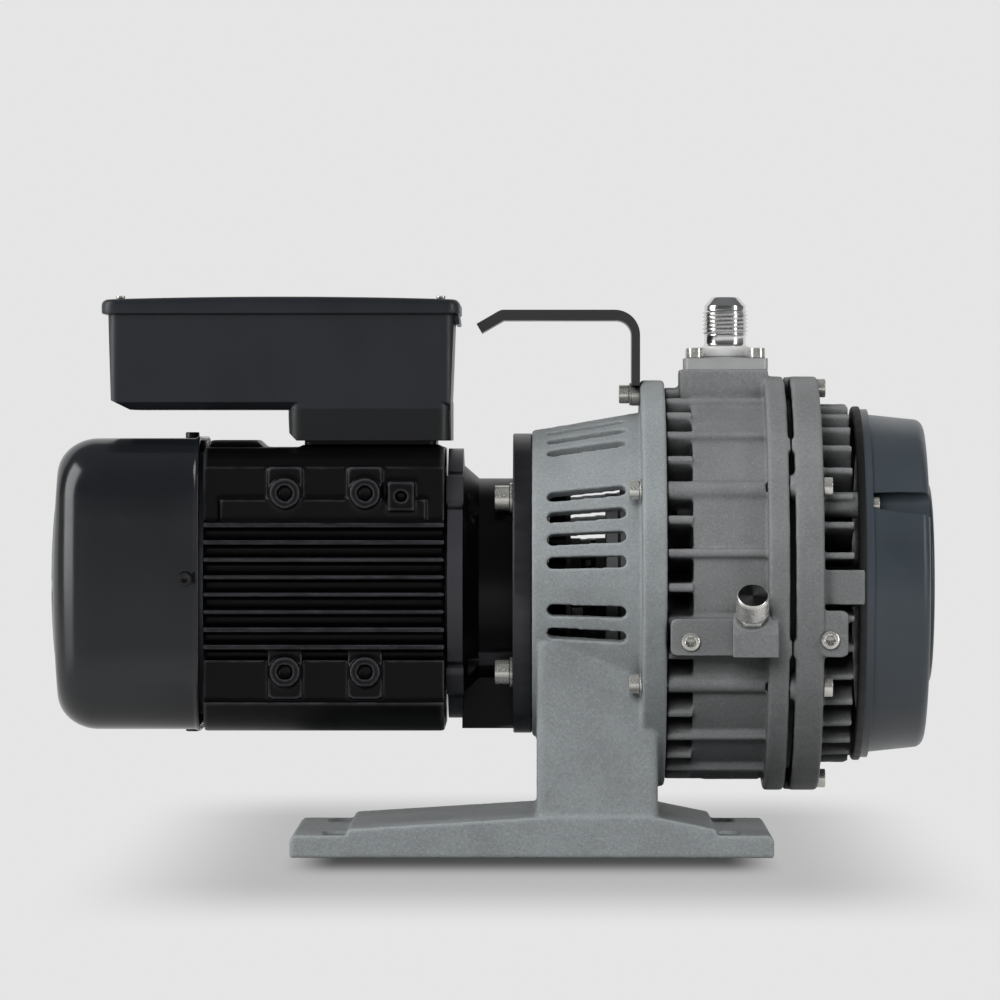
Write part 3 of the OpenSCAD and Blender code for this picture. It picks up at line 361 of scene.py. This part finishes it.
class Skin:
    """Gathers skins made of rings of points, in millimetres."""

    def __init__(self):
        self.points = []
        self.faces = []

    def add(self, rings, matrix=None, closed=False):
        """Joins equal rings into a skin.

        closed joins the last ring to the first, else both ends are capped."""
        matrix = matrix or Matrix()
        start, n = len(self.points), len(rings[0])
        for ring in rings:
            self.points += [matrix @ Vector(p) for p in ring]
        count = len(rings)
        for i in range(count if closed else count - 1):
            a, b = start + i * n, start + (i + 1) % count * n
            self.faces += [(a + k, a + (k + 1) % n, b + (k + 1) % n, b + k) for k in range(n)]
        if not closed:
            self.faces.append(tuple(start + k for k in reversed(range(n))))
            self.faces.append(tuple(start + (count - 1) * n + k for k in range(n)))

    def mesh(self, name, sharp=35):
        mesh = bpy.data.meshes.new(name)
        mesh.from_pydata([p * MM for p in self.points], [], self.faces)
        mesh.validate()
        for polygon in mesh.polygons:
            polygon.use_smooth = True
        mesh.set_sharp_from_angle(angle=math.radians(sharp))
        return mesh


def circle(r, z, n=48):
    return [(r * math.cos(a), r * math.sin(a), z) for a in (2 * math.pi * k / n for k in range(n))]


def hexagon(key, z, n=48):
    """A hexagon of n points across flats of key, with its corners on points."""
    ring = []
    for k in range(n):
        a = 2 * math.pi * k / n
        r = key / 2 / math.cos((a % (math.pi / 3)) - math.pi / 6)
        ring.append((r * math.cos(a), r * math.sin(a), z))
    return ring


def lathe(profile, n=96):
    return [circle(r, z, n) for r, z in profile]


FACING_FRONT = Matrix.Rotation(math.radians(90), 4, "Y")
FACING_REAR = Matrix.Rotation(math.radians(-90), 4, "Y")
FACING_NEAR = Matrix.Rotation(math.radians(90), 4, "X")
AXIS_Z = 142


def around(r, angle, x):
    a = math.radians(angle)
    return Matrix.Translation((x, r * math.cos(a), AXIS_Z + r * math.sin(a)))


def cap_screw(skin, place, head_d, head_h, shank_d, shank_l, key, washer=None, dome=0.0, floor=0.45):
    """A socket screw whose head stands on the plane z = 0 of its place.

    dome is the rise of the head's top, and floor the socket's floor as a share of the head's height."""
    r, ease = head_d / 2, min(0.6, head_h * 0.2)
    rim = key / math.sqrt(3) + 0.35
    skin.add([
        circle(shank_d / 2 - 0.4, -shank_l), circle(shank_d / 2, 0.4 - shank_l), circle(shank_d / 2, 0.02),
        circle(r - 0.3, 0.02), circle(r, 0.3), circle(r, head_h - ease - dome),
        circle(r - ease * 0.3, head_h - ease * 0.3 - dome), circle(r - ease, head_h - dome * 0.8),
        circle((r - ease + rim) / 2, head_h - dome * 0.25), circle(rim, head_h),
        hexagon(key, head_h - 0.3), hexagon(key, head_h * floor),
        circle(key * 0.2, head_h * floor - key * 0.1)
    ], place)
    if washer:
        outer, thick = washer
        hole = shank_d / 2 + 0.1
        skin.add([circle(hole, -thick), circle(outer - 0.2, -thick), circle(outer, 0.2 - thick),
                  circle(outer, -0.2), circle(outer - 0.2, 0), circle(hole, 0)], place, closed=True)


def screws(node, places, **sizes):
    skin = Skin()
    for place in places:
        cap_screw(skin, place, **sizes)
    return settle(stand_in(node, skin.mesh(node), "_turned"), node)


def bracket_bolts():
    skin = Skin()
    for angle in range(30, 360, 60):
        seat = 53.1 if angle == 90 else 57.5
        cap_screw(skin, around(101, angle, seat - 1.2) @ FACING_REAR, head_d=10, head_h=5.5, shank_d=6,
                  shank_l=87.5 - seat, key=5, washer=(6, 1.2))
    settle(stand_in("bracket_bolts", skin.mesh("bracket_bolts"), "_turned"), "bracket_bolts")


# ---------- inlet fitting and ballast knob ----------
INLET_X = 103.2
PITCH = 2.117


def inlet_fitting():
    """A flare fitting with a helical thread between its collar and its cone."""
    n, root, crest = 128, 11.1, 12.25
    bottom, top = 273.6, 288.4
    rings = lathe([(8.9, 242), (8.9, 262.95), (12.2, 263), (12.7, 263.4), (13.35, 267.3), (13.3, 267.9),
                   (12.9, 268.2), (11.9, 268.5), (11.3, 269.3), (root, 270.3), (root, bottom)], n)
    rows = int((top - bottom) / (PITCH / 10))
    for i in range(1, rows):
        z = bottom + (top - bottom) * i / rows
        fade = min(1.0, (z - bottom) / PITCH, (top - z) / PITCH)
        ring = []
        for k in range(n):
            phase = ((z - bottom) / PITCH - k / n) % 1.0
            wave = min(1.0, max(0.0, 1.25 * (1 - abs(2 * phase - 1)) - 0.1))
            r = root + (crest - root) * fade * wave
            a = 2 * math.pi * k / n
            ring.append((r * math.cos(a), r * math.sin(a), z))
        rings.append(ring)
    rings += lathe([(root, top), (root, 289.9), (10.9, 290.4), (7.5, 294.5), (7.1, 294.75), (6.5, 294.8),
                    (6.1, 294.5), (6, 294), (6, 242)], n)
    skin = Skin()
    skin.add(rings, Matrix.Translation((INLET_X, 0, 0)), closed=True)
    settle(stand_in("inlet_fitting", skin.mesh("inlet_fitting", 50), "_turned"), "inlet_fitting")


def ballast_knob():
    """Drawn about its own axis, so that the finish can follow it."""
    n, r, low, high = 216, 8.55, 5.2, 15.6
    skin = Skin()
    skin.add(lathe([(2.3, -3.5), (2.5, -3.3), (2.5, 0.31)], n))
    skin.add([hexagon(13.6, 0.3, n), hexagon(14, 0.6, n), hexagon(14, 3.0, n), hexagon(13.6, 3.3, n)])
    rings = lathe([(6, 3.0), (6, 3.8), (7.3, 3.85), (8.1, 4.3), (8.35, 4.9)], n)
    rows = 44
    for i in range(rows + 1):
        z = low + (high - low) * i / rows
        ring = []
        for k in range(n):
            a = 2 * math.pi * k / n
            ridge = max(abs(math.sin(36 * a + z * 3.9)), abs(math.sin(36 * a - z * 3.9)))
            depth = 0.3 * (1 - ridge) if 0 < i < rows else 0.12
            ring.append(((r - depth) * math.cos(a), (r - depth) * math.sin(a), z))
        rings.append(ring)
    rings += lathe([(8.35, 15.8), (8.3, 16.3), (7.85, 17.2), (7.7, 17.3), (7.65, 17.25), (2.0, 17.25)], n)
    skin.add(rings)
    piece = stand_in("ballast_knob", skin.mesh("ballast_knob", 50), "_turned")
    hole = bpy.data.objects.new("knob_hole", drill_mesh(0.9, 12))
    hole.matrix_world = Matrix.Translation(Vector((0, 0, 11)) * MM) @ FACING_NEAR
    bpy.context.scene.collection.objects.link(hole)
    cut(piece, hole)
    seat = Matrix.Translation(Vector((114, -117.5, 126.5)) * MM)
    piece.matrix_world = seat @ Matrix.Rotation(math.radians(45), 4, "X")
    settle(piece, "ballast_knob")


def drill_mesh(r, length):
    skin = Skin()
    skin.add([circle(r, 0, 24), circle(r, length, 24)])
    return skin.mesh("drill")


def cut(piece, tool):
    """Cuts the tool out of the piece, and removes the tool."""
    change = piece.modifiers.new("cut", "BOOLEAN")
    change.operation = "DIFFERENCE"
    change.object = tool
    change.solver = "EXACT"
    mesh = evaluated_mesh(piece)
    piece.modifiers.clear()
    piece.data = mesh
    bpy.data.objects.remove(tool)


# ---------- fan cowl ----------
COWL_X0, COWL_X1 = -256, -174.5
COWL_HALF = 76.8        # half its width and height
COWL_CORNER = 31        # radius of its long corners
COWL_EDGE = 24          # radius from its sides to its closed end
COWL_DOME = 420         # radius of the bulge of its closed end
COWL_Z = 142.7          # middle height of the cowl


def dome_drop(r):
    """How far the closed end has fallen back at a distance from its middle."""
    return COWL_DOME - math.sqrt(COWL_DOME ** 2 - r ** 2)


def rounded_square(half, corner, n=12):
    """Points of a square with round corners, counted from the middle of one side, as pairs."""
    points = []
    for quarter in range(4):
        turn = math.radians(90 * quarter)
        side = [(half, t * (half - corner)) for t in (-0.75, -0.5, -0.25, 0, 0.25, 0.5, 0.75)]
        arc = [(half - corner + corner * math.cos(a), half - corner + corner * math.sin(a))
               for a in (math.pi / 2 * i / n for i in range(n + 1))]
        for u, v in side + arc:
            points.append((u * math.cos(turn) - v * math.sin(turn), u * math.sin(turn) + v * math.cos(turn)))
    return points


def cowl_ring(x, inset):
    """One ring of the cowl. Near the closed end its corners lie further forward, which makes a true dome."""
    half, corner = COWL_HALF - inset, COWL_CORNER - inset
    if inset > COWL_EDGE:
        corner = half * (COWL_CORNER - COWL_EDGE) / (COWL_HALF - COWL_EDGE)
    share = min(1.0, max(0.0, inset / COWL_EDGE)) ** 2
    ring = []
    for u, v in rounded_square(half, corner):
        forward = share * (dome_drop(math.hypot(u, v)) - dome_drop(half))
        ring.append((x + forward, u, COWL_Z + v))
    return ring


def fan_cowl():
    edge_x = COWL_X0 + dome_drop(COWL_HALF - COWL_EDGE) + COWL_EDGE
    rim = [(0, -0.1), (0.3, -0.7), (1.0, -1.0), (1.8, -0.7), (2.6, -0.1), (3.4, 0)]
    line = [(COWL_X1 - back, inset) for back, inset in rim]
    side_x = line[-1][0]
    line += [(side_x + (edge_x - side_x) * i / 10, 0) for i in range(1, 11)]
    line += [(edge_x - COWL_EDGE * math.sin(a), COWL_EDGE * (1 - math.cos(a)))
             for a in (math.pi / 2 * i / 14 for i in range(1, 15))]
    flat = COWL_HALF - COWL_EDGE
    line += [(COWL_X0 + dome_drop(h), COWL_HALF - h) for h in (flat * (1 - i / 12) for i in range(1, 12))]
    rings = [cowl_ring(x, inset) for x, inset in line]
    skin = Skin()
    skin.add(rings)
    n = len(rings[0])
    skin.faces = [f for f in skin.faces if f != tuple(reversed(range(n)))]      # the open end
    piece = stand_in("fan_cowl", skin.mesh("fan_cowl", 50), "_pressed")
    shell = piece.modifiers.new("shell", "SOLIDIFY")
    shell.thickness = 1.5 * MM
    shell.offset = 1
    mesh = evaluated_mesh(piece)
    piece.modifiers.clear()
    piece.data = mesh
    slots = Skin()
    for r in (18, 30, 42, 54):
        for quarter in range(4):
            slots.add(sector(r - 3.2, r + 3.2, 90 * quarter, 3), Matrix.Translation((0, 0, AXIS_Z)))
    tool = bpy.data.objects.new("cowl_slots", slots.mesh("cowl_slots"))
    bpy.context.scene.collection.objects.link(tool)
    cut(piece, tool)
    settle(piece, "fan_cowl")


def sector(r0, r1, start, margin, n=20):
    """A block in the shape of a quarter ring, its ends a margin away from the axes."""
    low = math.radians(start) + math.asin(margin / r0)
    high = math.radians(start + 90) - math.asin(margin / r0)
    angles = [low + (high - low) * i / n for i in range(n + 1)]
    outline = [(r1 * math.cos(a), r1 * math.sin(a)) for a in angles]
    outline += [(r0 * math.cos(a), r0 * math.sin(a)) for a in reversed(angles)]
    return [[(x, u, v) for u, v in outline] for x in (COWL_X0 - 2, COWL_X0 + 9)]


# ---------- lid of the capacitor box ----------
LID_MIDDLE_X, LID_L, LID_W = -132.5, 189, 110
LID_Z, LID_TOP = 285, 294.5


def lid_outline(inset, z, crown, corner=8):
    """A rounded rectangle whose height falls off towards both ends by the crown."""
    half_l, half_w, r = LID_L / 2 - inset, LID_W / 2 - inset, max(corner - inset, 1.5)
    points = []
    corners = [(half_l - r, half_w - r, 0), (r - half_l, half_w - r, 90), (r - half_l, r - half_w, 180),
               (half_l - r, r - half_w, 270)]
    for i, (cx, cy, start) in enumerate(corners):
        points += [(cx + r * math.cos(a), cy + r * math.sin(a))
                   for a in (math.radians(start + 15 * k) for k in range(7))]
        nx, ny, _ = corners[(i + 1) % 4]
        first = points[-1]
        turn = math.radians(start + 90)
        last = (nx + r * math.cos(turn), ny + r * math.sin(turn))
        steps = 24 if i % 2 == 0 else 10
        points += [(first[0] + (last[0] - first[0]) * k / steps, first[1] + (last[1] - first[1]) * k / steps)
                   for k in range(1, steps)]
    return [(LID_MIDDLE_X + x, y, z - crown * (x / (LID_L / 2)) ** 2) for x, y in points]


def box_lid():
    drop, ease = 1.5, 3.6
    rings = [lid_outline(7.5, LID_Z + 4, 0), lid_outline(7.5, LID_Z + 0.05, 0),
             lid_outline(0.6, LID_Z + 0.05, 0), lid_outline(0, LID_Z + 0.7, 0),
             lid_outline(0, LID_TOP - ease - 0.4, drop * 0.7)]
    for k in range(1, 7):
        a = math.pi / 2 * k / 6
        rings.append(lid_outline(ease * (1 - math.cos(a)), LID_TOP - 0.4 - ease * (1 - math.sin(a)),
                                 drop * (0.7 + 0.05 * k)))
    rings += [lid_outline(inset, LID_TOP - 0.4 + rise, drop)
              for inset, rise in ((9, 0.15), (20, 0.3), (34, 0.38), (46, 0.4))]
    skin = Skin()
    skin.add(rings)
    skirt = [(-43.5, 288.6), (-40.3, 289.8), (-39.3, 289.0), (-38.1, 280.1), (-38.6, 279.6), (-40.2, 279.6),
             (-40.6, 280.2), (-41.4, 284.9)]
    skin.add([[(x, y, z) for x, z in skirt] for y in (47, -47)])
    settle(stand_in("box_lid", skin.mesh("box_lid", 40), "_pressed"), "box_lid")


# ---------- castings, and a black ring of painted shade on the lip of the fan cover ---
PAD_R = 107.5           # how far from the shaft the pads between the castings stand
PADS_KEPT = (17, 137, 197, 317)


def far_pads(x0, x1):
    """Cylinders round the pads between the two castings, apart from the few that are kept."""
    skin = Skin()
    rings = [circle(5.6, 0, 24), circle(5.6, x1 - x0, 24)]
    for angle in (bolt + turn for bolt in range(30, 360, 60) for turn in (-13, 14, 30)):
        if angle not in PADS_KEPT:
            skin.add(rings, around(PAD_R, angle, x0) @ FACING_FRONT)
    return skin


def cover_lip_shade():
    """A black ring on the lip of the fan cover: painted shade, a dark piece where the inside of the lip lies
    in shade.
    """
    skin = Skin()
    outline = [(88.5, 173.4), (88.5, 171.2), (89.2, 170.4), (93.6, 170.4), (94.4, 171.1), (94.5, 172),
               (94.5, 173.9), (94.2, 174.4), (93.05, 174.4), (93.05, 173.4)]
    rings = [[(x, r * math.cos(a), AXIS_Z + r * math.sin(a)) for r, x in outline]
             for a in (2 * math.pi * k / 144 for k in range(144))]
    skin.add(rings, closed=True)
    piece = bpy.data.objects.new("cover_lip_shade", skin.mesh("cover_lip_shade", 50))
    bpy.context.scene.collection.objects.link(piece)
    piece.data.materials.append(finishes["rubber"])
    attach(piece, nodes["fan_cover"]["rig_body"])


bracket_bolts()
screws("housing_bolts", [around(104.3, a, 152) @ FACING_FRONT for a in range(30, 360, 60)],
       head_d=10, head_h=4.8, shank_d=6, shank_l=29, key=5)
screws("cover_screws", [around(85, a, 177) @ FACING_FRONT for a in (150, 30, -90)],
       head_d=8.7, head_h=5, shank_d=4, shank_l=14, key=4)
screws("motor_bolts", [around(65, a, -11.6) @ FACING_REAR for a in (45, 135, 225, 315)],
       head_d=13, head_h=8, shank_d=7, shank_l=19, key=6, washer=(8, 1.6))
screws("inlet_bolts",
       [Matrix.Translation((INLET_X + x, y, 262)) for x in (-16.5, 16.5) for y in (-16.5, 16.5)],
       head_d=8.8, head_h=5.6, shank_d=5, shank_l=5.9, key=4)
screws("cowl_screws",
       [Matrix.Translation((-181.5, 0, COWL_Z)) @ Matrix.Rotation(math.radians(a), 4, "X")
        @ Matrix.Translation((0, 3.5 * math.sin(math.radians(a)), COWL_HALF)) for a in range(0, 360, 90)],
       head_d=7.4, head_h=3.2, shank_d=4, shank_l=6, key=3.4)
screws("lid_screws",
       [Matrix.Translation((LID_MIDDLE_X + x, y, LID_TOP - 1.2)) for x in (-84.5, 84.5) for y in (-46, 46)],
       head_d=5, head_h=1.3, shank_d=4, shank_l=8, key=2.5, floor=0.3)
screws("plug_screws",
       [Matrix.Translation(p) @ FACING_NEAR for p in ((82.3, -113, 114.2), (154.8, -106, 114.9))],
       head_d=9.6, head_h=3, shank_d=6, shank_l=7.9, key=4.8, dome=0.4, floor=-0.5)
inlet_fitting()
ballast_knob()
fan_cowl()
box_lid()
softened("bell_bracket", 0.9, 3, ripple=0.25)
softened("rear_fixed_scroll", 1.0, 3, ripple=0.22, without=far_pads(134.02, 136))
softened("front_fixed_scroll", 1.0, 3, ripple=0.3, without=far_pads(135, 136.98))
# painted shade: a black ring on the fan cover's lip
cover_lip_shade()
softened("motor_frame", 1.0, 2)
softened("ballast_valve_body", 0.5, 8, ripple=0.15)


# ---------- camera, floor and light ----------
def aim(thing, target):
    thing.rotation_mode = "QUATERNION"
    thing.rotation_quaternion = (Vector(target) - thing.location).to_track_quat("-Z", "Y")


def camera():
    data = bpy.data.cameras.new("camera")
    data.sensor_width = 36
    data.lens = 234
    data.clip_end = 50
    thing = bpy.data.objects.new("camera", data)
    bpy.context.scene.collection.objects.link(thing)
    thing.location = (0.0043, -3.476, 0.2238)
    aim(thing, (-0.0171, 0, 0.1864))
    bpy.context.scene.camera = thing


PAPER = 0.784


def floor_glow(g):
    """An even pale paper, with a painted soft shadow under the foot and a wide faint painted one round it."""
    x, y = (g.sums("ABSOLUTE", g.place(axis)) for axis in "XY")
    # painted shadow: a wide faint one round the pump
    wide = g.sums("MULTIPLY", g.remap(x, 0.125, 0.24, 1.0, 0.0, "SMOOTHSTEP"),
                  g.remap(y, 0.25, 0.57, 1.0, 0.0, "SMOOTHSTEP"))
    # painted shadow: a dark one just in front of and behind the foot
    away = g.sums("DIVIDE", g.sums("MAXIMUM", g.sums("SUBTRACT", y, 0.08), 0.0), 0.098)
    near = g.sums("EXPONENT", g.sums("MULTIPLY", g.sums("POWER", away, 3.0), -1.0))
    near = g.sums("MULTIPLY", near, g.remap(x, 0.1, 0.131, 1.0, 0.0, "SMOOTHSTEP"))
    light = g.sums("MULTIPLY", g.remap(wide, 0.0, 1.0, 1.0, 0.62), g.remap(near, 0.0, 1.0, 1.0, 0.14))
    return g.sums("MULTIPLY", light, PAPER)


def sheet(name, profile, material):
    """A wide sheet along a line of (y, z) points. It shows to the camera and in reflections only."""
    half_width = 4.0
    mesh = bpy.data.meshes.new(name)
    points = [(x, y, z) for y, z in profile for x in (-half_width, half_width)]
    quads = [(2 * i, 2 * i + 1, 2 * i + 3, 2 * i + 2) for i in range(len(profile) - 1)]
    mesh.from_pydata(points, [], quads)
    for polygon in mesh.polygons:
        polygon.use_smooth = True
    piece = bpy.data.objects.new(name, mesh)
    bpy.context.scene.collection.objects.link(piece)
    mesh.materials.append(material)
    piece.visible_diffuse = False
    piece.visible_shadow = False
    return piece


def studio():
    """A pale floor that glows by itself, and behind it a sweep that shows in reflections only.

    The camera sees through the sweep, so that nothing hides the object in a view from behind."""
    depth, sweep, height, steps = 1.6, 0.8, 3.0, 24
    g = Graph("floor_paper")
    g.finish((0.0, 0.0, 0.0), 1.0, None, {"Emission Color": (1.0, 1.0, 1.0), "Specular IOR Level": 0.0})
    g.feed(g.shader.inputs["Emission Strength"], floor_glow(g))
    sheet("floor", [(-5.0, 0.0), (depth, 0.0)], g.material)
    profile = [(depth, 0.0)]
    for i in range(1, steps + 1):
        a = math.pi / 2 * i / steps
        profile.append((depth + sweep * math.sin(a), sweep * (1 - math.cos(a))))
    profile.append((depth + sweep, height))
    sheet("backdrop", profile, g.material).visible_camera = False


def softbox(name, place, target, width, height, power, mirrored=True):
    """mirrored says whether the lamp shows in reflections."""
    data = bpy.data.lights.new(name, "AREA")
    data.shape = "RECTANGLE"
    data.size = width
    data.size_y = height
    data.energy = power
    lamp = bpy.data.objects.new(name, data)
    bpy.context.scene.collection.objects.link(lamp)
    lamp.location = place
    lamp.visible_glossy = mirrored
    aim(lamp, target)


def world():
    """A dim room that is darkest a little above the horizon, with an even pale ground for the camera."""
    surroundings = bpy.data.worlds.new("studio")
    bpy.context.scene.world = surroundings
    surroundings.use_nodes = True
    tree = surroundings.node_tree
    room, out = tree.nodes["Background"], tree.nodes["World Output"]
    split = tree.nodes.new("ShaderNodeSeparateXYZ")
    tree.links.new(tree.nodes.new("ShaderNodeTexCoord").outputs["Generated"], split.inputs[0])
    rise = tree.nodes.new("ShaderNodeMapRange")
    rise.inputs["From Min"].default_value = -1.0
    tree.links.new(split.outputs["Z"], rise.inputs["Value"])
    ramp = tree.nodes.new("ShaderNodeValToRGB")
    tree.links.new(rise.outputs["Result"], ramp.inputs[0])
    stops = [(0.0, 0.03), (0.47, 0.06), (0.5, 0.2), (0.57, 0.12), (0.68, 0.07), (0.85, 0.14), (1.0, 0.18)]
    while len(ramp.color_ramp.elements) < len(stops):
        ramp.color_ramp.elements.new(0.5)
    for element, (at, level) in zip(ramp.color_ramp.elements, stops):
        element.position = at
        element.color = (level * 0.97, level, level * 1.03, 1)
    tree.links.new(ramp.outputs["Color"], room.inputs["Color"])
    seen = tree.nodes.new("ShaderNodeBackground")
    seen.inputs["Color"].default_value = (PAPER, PAPER, PAPER, 1)
    mix = tree.nodes.new("ShaderNodeMixShader")
    tree.links.new(tree.nodes.new("ShaderNodeLightPath").outputs["Is Camera Ray"], mix.inputs[0])
    tree.links.new(room.outputs[0], mix.inputs[1])
    tree.links.new(seen.outputs[0], mix.inputs[2])
    tree.links.new(mix.outputs[0], out.inputs["Surface"])


camera()
studio()
world()
middle = (0, 0, 0.16)
softbox("key", (-0.6, -3.0, 1.3), middle, 1.6, 1.2, 66, mirrored=False)
softbox("top", (0.1, -0.2, 2.0), middle, 1.4, 1.2, 7, mirrored=False)
softbox("left_panel", (-1.5, -0.35, 0.75), middle, 0.8, 1.4, 16)
softbox("right_strip", (1.6, -0.9, 0.6), middle, 0.3, 1.4, 8)
bpy.context.scene.view_settings.view_transform = "Standard"
